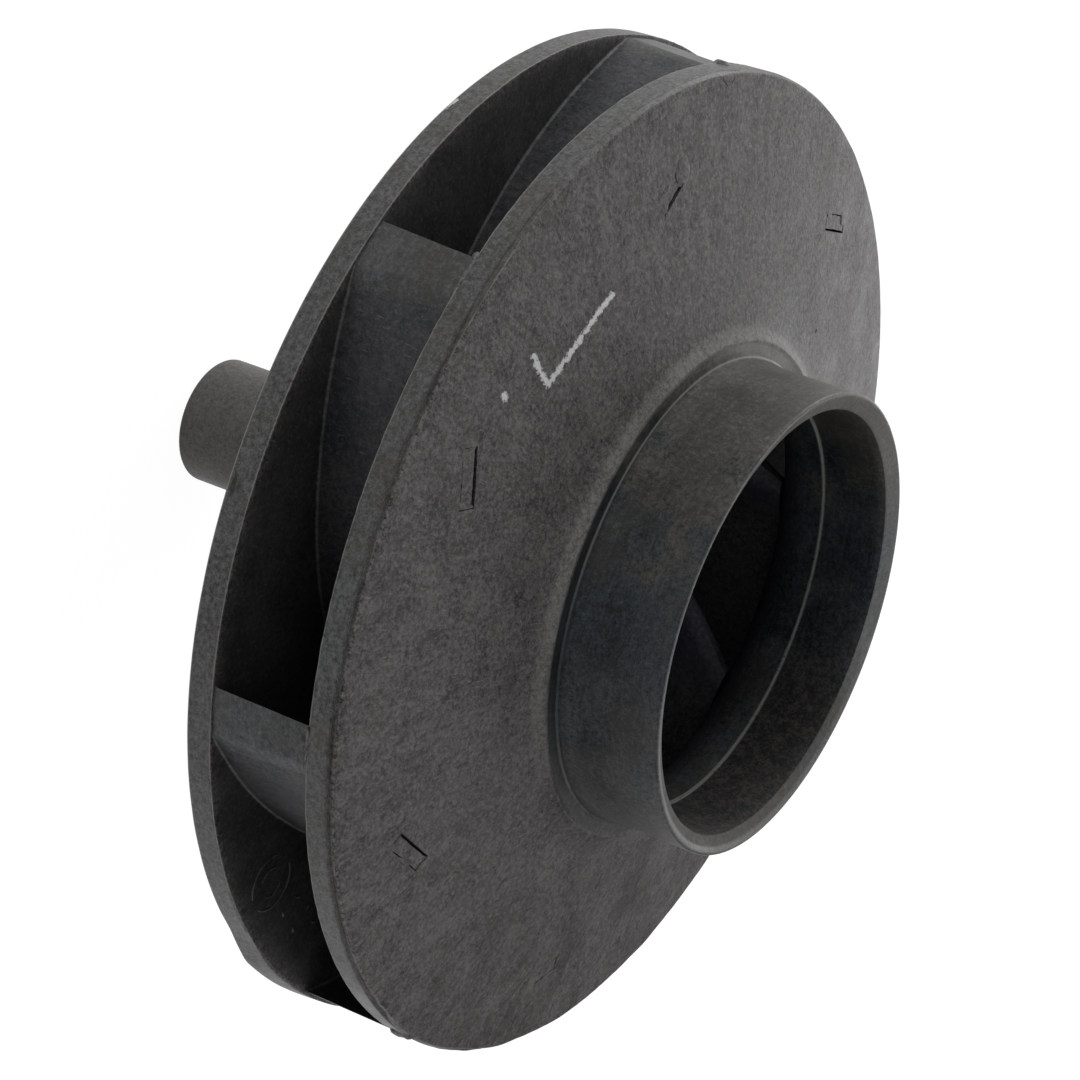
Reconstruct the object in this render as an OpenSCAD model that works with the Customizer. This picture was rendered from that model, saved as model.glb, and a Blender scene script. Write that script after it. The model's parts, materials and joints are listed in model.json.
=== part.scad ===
// Closed pump impeller moulded in two halves, with backward-curved vanes.
// It stands on the end of its hub, and +Z runs along the shaft towards the suction eye.
// All sizes are in millimetres.

/* [Shrouds] */
// Diameter across the rear shroud's rim
rear_d = 143.2; // [132:0.1:156]
// Diameter across the front shroud's rim
front_d = 142; // [132:0.1:156]
// Thickness of the rear shroud
rear_wall = 3.8; // [3:0.1:6]
// Thickness of the front shroud, measured along the shaft
front_wall = 3.8; // [3:0.1:5]
// Width of the outlet between the two rims
outlet_w = 14.3; // [10:0.1:20]
// Slope of the front shroud towards the eye, in degrees
cone_angle = 11.8; // [6:0.1:14]
// Depth of the step left at the front rim by its mould's parting line
rim_step = 0.2; // [0.1:0.05:0.4]
// Height of that step below the face
rim_step_h = 0.7; // [0.4:0.1:1.2]
// Bevel on the outer corners of both rims
rim_bevel = 0.3; // [0.1:0.05:0.5]

/* [Suction eye] */
// Outside diameter of the collar, where the pump's wear ring runs
collar_d = 66; // [62:0.1:72]
// Length of the collar above its shoulder
collar_l = 15.6; // [12:0.1:24]
// Diameter of the machined bore in the collar
eye_d = 60; // [54:0.1:60.6]
// Depth of the machined bore from the collar's end
eye_depth = 10.7; // [6:0.1:12]
// Ledge left where the machined bore ends
eye_ledge = 0.4; // [0.2:0.1:1]
// Bevel at the collar's outer corner
collar_bevel = 0.4; // [0.2:0.1:0.8]
// Rounding of the collar's inner lip
lip_r = 0.9; // [0.5:0.1:1.2]
// Radius of the turn from the throat to the shroud's inner face
throat_r = 7; // [4:0.1:9]
// Width of the machined shoulder round the collar
shoulder_w = 3; // [1:0.1:5]
// Drop of the shoulder below the crest round it
shoulder_drop = 0.5; // [0.2:0.1:1]
// Radius of the fillet that rises from the face to the crest
crest_r = 6; // [3:0.1:8]

/* [Vanes] */
// Number of vanes
vane_count = 7; // [5:1:8]
// Angle between a vane and the rim's tangent, in degrees
vane_angle = 25.6; // [22:0.1:32]
// Wall of a vane at the outlet
tip_wall = 2.4; // [2:0.1:3]
// Wall of a vane at its inner end
inner_wall = 4; // [3.4:0.1:5]
// Radius of the vanes' inner ends at the rear shroud
inner_r_rear = 25; // [22:0.1:28]
// Radius of the vanes' inner ends at the front shroud
inner_r_front = 35; // [32:0.1:40]

/* [Tabs and slots] */
// Radius of the slots' centres
slot_r = 59.2; // [50:0.1:62]
// Length of a slot in the front shroud
slot_l = 8.2; // [6:0.1:10]
// Width of a slot
slot_w = 2.8; // [2.4:0.1:3]
// Play at each end of a tab
tab_end_gap = 0.2; // [0.1:0.05:0.4]
// Play on the outer side of a tab, which seats there
tab_seat_gap = 0.1; // [0.05:0.05:0.2]
// Play on the inner side of a tab
tab_open_gap = 0.6; // [0.3:0.05:0.8]
// Depth of a tab's top below the shroud's face
tab_recess = 0.2; // [0.1:0.05:0.5]

/* [Hub] */
// Diameter of the hub, where the shaft seal sits
hub_d = 19.05; // [18:0.05:24]
// Length of the hub behind the rear shroud
hub_l = 52.8; // [45:0.1:70]
// Bevel at the hub's end
hub_bevel = 0.5; // [0.3:0.1:1]
// Radius of the fillet between hub and rear shroud
hub_fillet = 2; // [1:0.1:4]
// Diameter of the nose that turns the flow inside the eye
nose_d = 34; // [28:0.5:40]
// Height of that nose above the rear shroud
nose_h = 9; // [6:0.1:12]

/* [Threaded insert] */
// Minor diameter of the shaft's thread, a 7/16-20
thread_d = 9.9; // [9.5:0.05:10.5]
// Outside diameter of the insert
insert_d = 14.4; // [13:0.1:15]
// Length of the insert
insert_l = 30; // [22:0.5:36]
// Depth of the shaft's relief hole beyond the insert
relief_l = 8; // [4:0.5:10]
// Clearance of the relief hole round the thread
relief_gap = 0.8; // [0.5:0.1:1.2]
// Number of knurl ridges that key the insert
knurl_count = 24; // [16:2:36]
// Depth of the knurl
knurl_depth = 0.35; // [0.2:0.05:0.5]
// Number of grooves that hold the insert lengthwise
groove_count = 2; // [1:1:3]
// Width of each groove
groove_w = 2.5; // [1.5:0.1:3.5]
// Depth of each groove
groove_depth = 0.8; // [0.5:0.1:1]
// Countersink at the mouth of the thread
thread_bevel = 0.8; // [0.4:0.1:1.2]

/* [Hidden] */
$fn = 96;
arc_steps = 10;
vane_steps = 30;
crest_angle = 45;
taper_power = 4;
rear_r = rear_d / 2;
front_r = front_d / 2;
hub_r = hub_d / 2;
collar_r = collar_d / 2;
eye_r = eye_d / 2;
bore_r = thread_d / 2;
land_r = insert_d / 2;
relief_r = bore_r + relief_gap;
floor_z = hub_l + rear_wall;
roof_z = floor_z + outlet_w;
face_z = roof_z + front_wall;
shoulder_r = collar_r + shoulder_w;
inner_throat_r = eye_r - eye_ledge;
tab_w = slot_w - tab_seat_gap - tab_open_gap;
tab_l = slot_l - 2 * tab_end_gap;
tab_shift = (tab_open_gap - tab_seat_gap) / 2;

// Height of the cone that starts at height z on the front rim
function cone_z(r, z) = z + (front_r - r) * tan(cone_angle);

// Points along an arc in the profile's plane
function arc(x, y, r, from, to) =
    [for (i = [0 : arc_steps]) let (a = from + (to - from) * i / arc_steps) [x + r * cos(a), y + r * sin(a)]];

// The turn from the throat to the inner cone, and the fillet that rises to the crest
throat_x = inner_throat_r + throat_r;
throat_z = cone_z(throat_x, roof_z) + throat_r / cos(cone_angle);
crest_x = shoulder_r + crest_r * sin(crest_angle);
crest_z = cone_z(crest_x, face_z) + crest_r / cos(cone_angle);
crest_top = crest_z - crest_r * cos(crest_angle);
shoulder_z = crest_top - shoulder_drop;
collar_top = shoulder_z + collar_l;
throat_turn = arc(throat_x, throat_z, throat_r, 180, 270 - cone_angle);
crest_fillet = arc(crest_x, crest_z, crest_r, 270 - cone_angle, 270 - crest_angle);

// A vane's outer face is a log spiral, which keeps one angle to the rim all along
function unit(a) = [cos(a), sin(a)];
function wrap(r) = ln(front_r / r) / tan(vane_angle) * 180 / PI;
function vane_wall(r) =
    inner_wall - (inner_wall - tip_wall) * pow((r - inner_r_rear) / (front_r - inner_r_rear), taper_power);
function vane_point(r, depth) = r * unit(wrap(r)) - depth * unit(wrap(r) + vane_angle);
function station(i) = inner_r_rear - inner_wall + (rear_r + 2 - inner_r_rear + inner_wall) * i / vane_steps;

// Where a slot's centre meets the middle of its vane
slot_station = slot_r + vane_wall(slot_r) / 2 * cos(vane_angle);
slot_centre = vane_point(slot_station, vane_wall(slot_station) / 2);
slot_turn = wrap(slot_station) + vane_angle;

module around_vanes() {
    for (i = [0 : vane_count - 1])
        rotate([0, 0, 360 / vane_count * i])
            children();
}

module vane_plan() {
    polygon([
        for (i = [0 : vane_steps]) vane_point(station(i), 0),
        for (i = [vane_steps : -1 : 0]) vane_point(station(i), vane_wall(station(i)))
    ]);
}

// The space between the shrouds that the vanes fill, from their swept inner ends to the turned rim
module passage() {
    rotate_extrude()
        polygon(concat(
            [[inner_r_rear, hub_l + rear_wall / 2], [inner_r_rear, floor_z]],
            [for (p = throat_turn) if (p[0] > inner_r_front) p],
            [[front_r, roof_z], [rear_r, floor_z], [rear_r - rim_bevel, hub_l + rear_wall / 2]]
        ));
}

module vanes() {
    intersection() {
        passage();
        around_vanes()
            linear_extrude(height = face_z + cone_z(0, 0))
                vane_plan();
    }
}

// A block at the slot's place, turned along its vane
module at_slot(width, length, shift) {
    translate([slot_centre[0], slot_centre[1], floor_z])
        rotate([0, 0, slot_turn])
            translate([shift - width / 2, -length / 2, 0])
                cube([width, length, collar_top - floor_z]);
}

// Tabs stand on the vanes, and their tops follow the cone just below the face
module tabs() {
    intersection() {
        around_vanes()
            at_slot(tab_w, tab_l, tab_shift);
        rotate_extrude()
            polygon([
                [slot_r - slot_l, floor_z],
                [slot_r + slot_l, floor_z],
                [slot_r + slot_l, cone_z(slot_r + slot_l, face_z - tab_recess)],
                [slot_r - slot_l, cone_z(slot_r - slot_l, face_z - tab_recess)]
            ]);
    }
}

// Disc, hub and nose turned as one profile
module rear_body() {
    rotate_extrude()
        polygon(concat(
            [[0, 0], [hub_r - hub_bevel, 0], [hub_r, hub_bevel]],
            arc(hub_r + hub_fillet, hub_l - hub_fillet, hub_fillet, 180, 90),
            [[rear_r - rim_bevel, hub_l], [rear_r, hub_l + rim_bevel], [rear_r, floor_z]],
            [for (i = [0 : arc_steps]) let (s = i / arc_steps)
                [nose_d / 2 * (1 - s), floor_z + nose_h * (1 - cos(180 * s)) / 2]]
        ));
}

// Lands with knurled ridges, parted by smooth grooves
module insert_blank() {
    knurl = [for (i = [0 : 2 * knurl_count - 1])
        (land_r - (i % 2) * knurl_depth) * unit(180 / knurl_count * i)];
    groove_pitch = insert_l / (groove_count + 1);
    difference() {
        linear_extrude(height = insert_l)
            polygon(knurl);
        for (i = [1 : groove_count])
            translate([0, 0, groove_pitch * i - groove_w / 2])
                difference() {
                    cylinder(r = land_r + 1, h = groove_w);
                    cylinder(r = land_r - groove_depth, h = groove_w);
                }
    }
}

module rear_shroud() {
    color("dimgray")
        difference() {
            union() {
                rear_body();
                vanes();
                tabs();
            }
            insert_blank();
            cylinder(r = relief_r, h = insert_l + relief_l);
        }
}

module front_shroud() {
    color("dimgray")
        difference() {
            rotate_extrude()
                polygon(concat(
                    [[inner_throat_r, collar_top - eye_depth]],
                    throat_turn,
                    [
                        [front_r, roof_z],
                        [front_r, face_z - rim_step_h],
                        [front_r - rim_step, face_z - rim_step_h],
                        [front_r - rim_step, face_z - rim_bevel],
                        [front_r - rim_step - rim_bevel, face_z]
                    ],
                    crest_fillet,
                    [
                        [shoulder_r, shoulder_z],
                        [collar_r, shoulder_z],
                        [collar_r, collar_top - collar_bevel],
                        [collar_r - collar_bevel, collar_top]
                    ],
                    arc(eye_r + lip_r, collar_top - lip_r, lip_r, 90, 180),
                    [[eye_r, collar_top - eye_depth]]
                ));
            around_vanes()
                at_slot(slot_w, slot_l, 0);
        }
}

module threaded_insert() {
    color("goldenrod")
        difference() {
            insert_blank();
            cylinder(r = bore_r, h = insert_l);
            cylinder(r1 = bore_r + thread_bevel, r2 = bore_r, h = thread_bevel);
        }
}

rear_shroud();
front_shroud();
threaded_insert();
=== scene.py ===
import json
import math
from math import cos, pi, radians, sin

import bmesh
import bpy
from mathutils import Matrix, Vector, noise


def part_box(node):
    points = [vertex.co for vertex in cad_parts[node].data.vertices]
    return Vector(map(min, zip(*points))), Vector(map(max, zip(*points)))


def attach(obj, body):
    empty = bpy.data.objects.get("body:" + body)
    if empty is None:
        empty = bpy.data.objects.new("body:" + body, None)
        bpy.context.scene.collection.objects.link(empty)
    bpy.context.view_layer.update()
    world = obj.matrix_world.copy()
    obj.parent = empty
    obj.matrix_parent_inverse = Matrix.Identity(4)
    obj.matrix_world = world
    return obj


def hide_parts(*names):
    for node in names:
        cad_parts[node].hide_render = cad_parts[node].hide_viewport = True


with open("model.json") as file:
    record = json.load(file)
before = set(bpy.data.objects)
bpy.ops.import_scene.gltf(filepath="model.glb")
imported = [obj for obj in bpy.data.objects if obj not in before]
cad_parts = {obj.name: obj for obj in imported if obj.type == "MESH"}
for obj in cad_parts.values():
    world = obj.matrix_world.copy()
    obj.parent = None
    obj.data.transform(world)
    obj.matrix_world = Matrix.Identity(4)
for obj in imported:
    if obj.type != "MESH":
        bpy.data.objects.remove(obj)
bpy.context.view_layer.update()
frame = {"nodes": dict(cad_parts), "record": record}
print("frame loaded:", sorted(frame["nodes"]))

mm = 0.001
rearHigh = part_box("rear_shroud")[1]
frontLow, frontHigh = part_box("front_shroud")
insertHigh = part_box("threaded_insert")[1]
mountRadius = {m["name"]: m["dims"]["r_mm"] for m in frame["record"]["mounts"] if "r_mm" in m["dims"]}

# What the pieces share, in mm; the outer sizes come from the frame
impeller = {
    "rearRim": rearHigh.x / mm,
    "frontRim": frontHigh.x / mm,
    "roof": frontLow.z / mm,  # back of the front shroud at its rim
    "collarTop": frontHigh.z / mm,
    "shoulderFoot": 82.2,
    "boreDepth": 10.7,
    "outletWidth": 14.3,
    "rearWall": 3.8,
    "frontWall": 3.8,
    "coneAngle": 11.8,
    "vaneAngle": 25.6,
    "vaneCount": 7,
    "segments": 360,
}
coneSlope = math.tan(radians(impeller["coneAngle"]))
floorHeight = impeller["roof"] - impeller["outletWidth"]
discBack = floorHeight - impeller["rearWall"]
faceHeight = impeller["roof"] + impeller["frontWall"]
collarTop, shoulderFoot = impeller["collarTop"], impeller["shoulderFoot"]
boreFoot = collarTop - impeller["boreDepth"]


def coneHeight(radius, rimHeight):
    return rimHeight + (impeller["frontRim"] - radius) * coneSlope


def arcPoints(x, z, radius, start, end, steps=8):
    # points in the (radius, height) plane of a turned outline, angles in degrees
    angles = [radians(start + (end - start) * i / steps) for i in range(steps + 1)]
    return [(x + radius * cos(a), z + radius * sin(a)) for a in angles]


def splitLine(a, b, longest):
    # points after a up to b, no further apart than longest
    count = max(1, math.ceil(math.dist(a, b) / longest))
    return [(a[0] + (b[0] - a[0]) * i / count, a[1] + (b[1] - a[1]) * i / count) for i in range(1, count + 1)]


def addObject(name, mesh):
    piece = bpy.data.objects.new(name, mesh)
    bpy.context.scene.collection.objects.link(piece)
    return piece


def ringSolid(name, rings):
    # closed solid through rings of points in mm, the last joined to the first; a ring on the axis is one point
    shape = bmesh.new()
    rings = [[shape.verts.new([c * mm for c in point]) for point in ring] for ring in rings]
    segments = max(len(ring) for ring in rings)
    for i, ring in enumerate(rings):
        last = rings[i - 1]
        for k in range(segments):
            ahead = (k + 1) % segments
            corners = list(dict.fromkeys((last[k % len(last)], last[ahead % len(last)],
                                          ring[ahead % len(ring)], ring[k % len(ring)])))
            if len(corners) > 2:
                shape.faces.new(corners)
    bmesh.ops.recalc_face_normals(shape, faces=shape.faces)
    mesh = bpy.data.meshes.new(name)
    shape.to_mesh(mesh)
    shape.free()
    return addObject(name, mesh)


def turnOutline(name, outline, longest=6.0):
    # closed solid turned round Z from a closed outline of (radius, height) points in mm
    turns = [2 * pi * k / impeller["segments"] for k in range(impeller["segments"])]
    rings = []
    for i, point in enumerate(outline):
        for radius, height in splitLine(outline[i - 1], point, longest):
            spots = turns if radius > 1e-6 else turns[:1]
            rings.append([(radius * cos(t), radius * sin(t), height) for t in spots])
    return ringSolid(name, rings)


# Node formulas, for shapes and for shaders: a Measure is a node socket that + - * / work on
class Measure:
    def __init__(self, tree, source):
        self.tree = tree
        self.source = source

    def call(self, operation, *others):
        return formula(self.tree, operation, self, *others)

    def __add__(self, other):
        return self.call("ADD", other)

    def __sub__(self, other):
        return self.call("SUBTRACT", other)

    def __rsub__(self, other):
        return formula(self.tree, "SUBTRACT", other, self)

    def __mul__(self, other):
        return self.call("MULTIPLY", other)

    def __truediv__(self, other):
        return self.call("DIVIDE", other)

    def share(self):
        return self.call("MAXIMUM", 0.0).call("MINIMUM", 1.0)

    def between(self, low, high):
        # 0 below low and 1 above high, with soft ends
        return Measure(self.tree, made(self.tree, "ShaderNodeMapRange", {"interpolation_type": "SMOOTHSTEP"},
                                       Value=self, From_Min=low, From_Max=high))


def plug(tree, value, slot):
    if isinstance(value, Measure):
        value = value.source
    if isinstance(value, bpy.types.NodeSocket):
        tree.links.new(value, slot)
    else:
        slot.default_value = value


def formula(tree, operation, *values):
    node = tree.nodes.new("ShaderNodeMath")
    node.operation = operation
    for value, slot in zip(values, node.inputs):
        plug(tree, value, slot)
    return Measure(tree, node.outputs[0])


def addNode(tree, kind, settings=None, **inputs):
    # inputs go by socket name, with _ for a space
    node = tree.nodes.new(kind)
    for name, value in (settings or {}).items():
        setattr(node, name, value)
    for name, value in inputs.items():
        plug(tree, value, node.inputs[name.replace("_", " ")])
    return node


def made(tree, kind, settings=None, **inputs):
    return addNode(tree, kind, settings, **inputs).outputs[0]


def vector(tree, x, y, z=0.0):
    return made(tree, "ShaderNodeCombineXYZ", X=x, Y=y, Z=z)


def parts(tree, source):
    return [Measure(tree, socket) for socket in addNode(tree, "ShaderNodeSeparateXYZ", Vector=source).outputs]


def position(tree):
    return parts(tree, made(tree, "GeometryNodeInputPosition"))


def movedTo(tree, geometry, x, y, z):
    return made(tree, "GeometryNodeSetPosition", Geometry=geometry, Position=vector(tree, x, y, z))


def growMesh(piece, name, inputs, shapeOf):
    # gives the piece the plain mesh of a tree with named inputs, whose geometry comes from shapeOf
    kinds = {int: "Int", float: "Float", tuple: "Vector", bpy.types.Material: "Material",
             bpy.types.Object: "Object"}
    tree = bpy.data.node_groups.new(name, "GeometryNodeTree")
    for way in ("OUTPUT", "INPUT"):
        tree.interface.new_socket("Geometry", in_out=way, socket_type="NodeSocketGeometry")
    for label, value in inputs.items():
        tree.interface.new_socket(label, in_out="INPUT", socket_type="NodeSocket" + kinds[type(value)])
    sockets = tree.nodes.new("NodeGroupInput").outputs
    v = {socket.name: Measure(tree, socket) for socket in sockets if socket.name}
    # it ends in real geometry with its material
    real = made(tree, "GeometryNodeRealizeInstances", Geometry=shapeOf(tree, v))
    painted = made(tree, "GeometryNodeSetMaterial", Geometry=real, Material=v["Plastic"])
    tree.links.new(painted, tree.nodes.new("NodeGroupOutput").inputs[0])
    modifier = piece.modifiers.new(name, "NODES")
    modifier.node_group = tree
    for item in tree.interface.items_tree:
        if item.in_out == "INPUT" and item.name in inputs:
            modifier[item.identifier] = inputs[item.name]
    bpy.context.view_layer.update()
    plain = bpy.data.meshes.new_from_object(piece.evaluated_get(bpy.context.evaluated_depsgraph_get()))
    piece.modifiers.remove(modifier)
    piece.data = plain


def placesMesh(name, table):
    # one loose vertex for each entry, with the table's columns as attributes
    count = len(next(iter(table.values())))
    mesh = bpy.data.meshes.new(name)
    mesh.from_pydata([(0, 0, 0)] * count, [], [])
    for label, values in table.items():
        mesh.attributes.new(label, "FLOAT", "POINT").data.foreach_set("value", values)
    return addObject(name, mesh)


def column(tree, name):
    return Measure(tree, made(tree, "GeometryNodeInputNamedAttribute", {"data_type": "FLOAT"}, Name=name))


def meshOf(tree, source):
    return addNode(tree, "GeometryNodeObjectInfo", Object=source).outputs["Geometry"]


def block(tree, x, y, z):
    # unit cube with so many vertices each way
    return made(tree, "GeometryNodeMeshCube", Size=(1.0, 1.0, 1.0), Vertices_X=x, Vertices_Y=y, Vertices_Z=z)


def copiesAt(tree, places, shape):
    # real copies of a shape at every place; a point keeps its place's columns
    copies = made(tree, "GeometryNodeInstanceOnPoints", Points=places, Instance=shape)
    return made(tree, "GeometryNodeRealizeInstances", Geometry=copies)


def speckle(tree, place, scale, detail=2.0, roughness=0.5):
    return Measure(tree, made(tree, "ShaderNodeTexNoise", Vector=place, Scale=scale, Detail=detail,
                              Roughness=roughness))


def wobble(tree, place, scale, detail=2.0):
    # smooth chance between about -1 and 1
    return (speckle(tree, place, scale, detail) - 0.5) * 3.0


def meshBoolean(tree, operation, first, second):
    node = addNode(tree, "GeometryNodeMeshBoolean", {"operation": operation, "solver": "EXACT"})
    plug(tree, second, node.inputs[1])
    plug(tree, first, node.inputs[0 if operation == "DIFFERENCE" else 1])
    return node.outputs[0]


def objectPlace(tree):
    # place on the object in mm: the vector, its three parts and the distance from the axis
    place = made(tree, "ShaderNodeVectorMath", {"operation": "SCALE"}, Scale=1 / mm,
                 Vector=tree.nodes.new("ShaderNodeTexCoord").outputs["Object"])
    x, y, z = parts(tree, place)
    return place, x, y, z, farFrom(x, y)


def farFrom(x, y):
    return (x * x + y * y).call("SQRT")


def coats(tree, colour, *layers):
    # the colour with each tint of (share, tint) laid over it in turn
    for share, tint in layers:
        node = addNode(tree, "ShaderNodeMix", {"data_type": "RGBA"})
        for value, slot in ((share, 0), (colour, 6), (tint, 7)):
            plug(tree, (*value, 1) if isinstance(value, tuple) else value, node.inputs[slot])
        colour = node.outputs[2]
    return colour


def fibres(tree, place, turn, length, width, thickness):
    # a short light line in each long thin cell that points along the turned x, of its own strength
    node = addNode(tree, "ShaderNodeMapping", {"vector_type": "TEXTURE"}, Vector=place, Rotation=turn,
                   Scale=(length, width, width))
    cells = addNode(tree, "ShaderNodeTexVoronoi", Vector=node.outputs[0], Scale=1.0)
    strength = Measure(tree, made(tree, "ShaderNodeSeparateColor", Color=cells.outputs["Color"]))
    return Measure(tree, cells.outputs["Distance"]).between(thickness, thickness * 0.5) * strength


def largest(marks):
    near = marks[0]
    for mark in marks[1:]:
        near = near.call("MAXIMUM", mark)
    return near.share()


def nearEdges(far, z, edges, width):
    # 1 on the turned edges, given as (radius, height), down to 0 a width away
    return largest([1.0 - farFrom(far - radius, z - height) / width for radius, height in edges])


def nearStrokes(tree, place, strokes, width):
    # the same for straight strokes from point to point
    marks = []
    for first, last in strokes:
        start, run = Vector(first), Vector(last) - Vector(first)
        away = addNode(tree, "ShaderNodeVectorMath", {"operation": "SUBTRACT"}, Vector=place)
        away.inputs[1].default_value = start
        share = addNode(tree, "ShaderNodeVectorMath", {"operation": "DOT_PRODUCT"}, Vector=away.outputs[0])
        share.inputs[1].default_value = run / run.length_squared
        share = Measure(tree, share.outputs["Value"]).share()
        back = made(tree, "ShaderNodeVectorMath", {"operation": "SCALE"}, Vector=tuple(run), Scale=share)
        gap = addNode(tree, "ShaderNodeVectorMath", {"operation": "DISTANCE"}, Vector=away.outputs[0])
        tree.links.new(back, gap.inputs[1])
        marks.append(1.0 - Measure(tree, gap.outputs["Value"]) / width)
    return largest(marks)


def newMaterial(name, settings):
    material = bpy.data.materials.new(name)
    material.use_nodes = True
    tree = material.node_tree
    shader = tree.nodes["Principled BSDF"]
    for socket, value in settings.items():
        shader.inputs[socket].default_value = value
    return material, tree, shader


def finishMaterial(tree, shader, colour, roughness, height, depth):
    # depth is what a height of 1 stands out, in mm
    plug(tree, colour, shader.inputs["Base Color"])
    plug(tree, roughness, shader.inputs["Roughness"])
    tree.links.new(made(tree, "ShaderNodeBump", Distance=depth * mm, Height=height), shader.inputs["Normal"])


plasticLook = {
    "dark": (0.0080, 0.0077, 0.0079),
    "light": (0.0855, 0.0780, 0.0755),
    "eye": (0.0280, 0.0320, 0.0520),
    "wall": (0.0170, 0.0235, 0.0295),  # the sides of the vanes
    "wallShare": 0.55,
    "skin": (0.0290, 0.0300, 0.0345),  # smooth inside the passages
    "skinShare": 0.6,
    "brown": (0.031, 0.0285, 0.0245),
    "brownShare": 0.8,
    "fibre": (0.16, 0.157, 0.148),
    # lighter colour of worn edges, also used for painted highlights and for painted light on the hub
    "worn": (0.2, 0.198, 0.188),
    "wornWidth": 0.28,
    "wornShare": 0.75,
    "hole": (0.004, 0.004, 0.004),
    "flow": 0.42,          # how much shorter a stretch of grain is across the flow than along it
    "radiusOfFlow": 55.0,
    "flowGrain": 0.5,      # grains per mm
    "grainZone": (38.0, 56.0),  # radii between which the grain comes up
    "fineGrain": 1.5,
    "cloud": 0.13,
    "patch": 0.45,
    "patchShare": 0.7,
    "grainShare": 1.7,
    "fineShare": 3.5,
    "cloudShare": 1.2,
    "fibreLength": 2.4,
    "fibreWidth": 0.42,
    "fibreLine": 0.22,
    "fibreTurns": ((0.3, 0.2, 0.7), (1.1, 0.5, 2.2)),
    "fibreShare": 0.45,
    "speckShare": 0.5,
    # painted light on the hub
    "hubShare": 0.36,
    "gloss": 0.42,
    "roughness": 0.56,
    "insideEye": 0.4,      # colour left on the walls inside the eye, which are painted darker and bluer
    "depth": 0.03,
    # width of the shoulder's rubbed band with its painted highlight
    "rubbedWidth": 2.4,
    "pit": (((34.2, -27.86, 0), (34.3, -27.95, 0)),),
    "split": (((-56.9, 12.6, 0), (-58.5, 14.0, 0)), ((-58.5, 14.0, 0), (-60.0, 15.0, 0))),
}
turnedLook = {
    "dark": (0.0064, 0.0083, 0.0097),
    "light": (0.0655, 0.0705, 0.0735),
    "stain": (0.037, 0.0335, 0.027),
    "stainSize": 0.09,
    "rimShare": 0.28,
    "mouthShare": 0.22,
    # painted light on the upper side of the collar, and painted shade on its sides
    "warm": (0.085, 0.080, 0.068),
    "cold": (0.046, 0.06, 0.069),
    "stray": 70.0,         # how far the warm and cold zones wander, in mm
    "grime": (0.066, 0.059, 0.053),
    "grimeSize": 0.55,
    "gloss": 0.42,
    "roughness": 0.47,
    "chalky": (0.55, 0.55, 0.53),
    "scuff": (((60.95, 37.58, 52.9), (62.2, 35.45, 53.2)),),
    "line": 2.2,           # tool lines per mm
    "lineWay": 7.0,        # a line's length in spots
    "fineGrain": 1.4,
    "cloud": 0.13,
    "lineShare": 0.7,
    "fineShare": 3.5,
    "cloudShare": 1.2,
    "scratch": (0.14, 0.148, 0.15),
    "scratchTurn": (0.9, 0.4, 0.5),
    "scratchLength": 2.0,
    "scratchWidth": 0.5,
    "scratchShare": 0.6,
    "wornWidth": 0.26,
    "depth": 0.012,
    # painted shade in the corner at the foot of the collar
    "sootCorner": ((mountRadius["collar_seat"] + 1.6, shoulderFoot + 0.7),),
    "sootWidth": 1.7,
    # painted highlight along the top edge of the collar's step
    "footLine": ((mountRadius["collar_seat"] + 0.62, 83.17),),
    "footLineWidth": 0.2,
}
pencilLook = {
    "colour": (0.5, 0.51, 0.5),
    "width": 0.72,
    "strokes": (  # a tick and a dot on the face, drawn by hand
        ((36.2, 45.6, 77.45), (34.4, 44.3, 77.8)), ((34.4, 44.3, 77.8), (32.6, 42.4, 78.35)),
        ((32.6, 42.4, 78.35), (36.4, 38.6, 78.4)), ((36.4, 38.6, 78.4), (40.9, 34.0, 78.45)),
        ((40.9, 34.0, 78.45), (43.3, 31.0, 78.4)), ((31.6, 50.4, 77.1), (31.3, 50.1, 77.2)),
    ),
}


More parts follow.
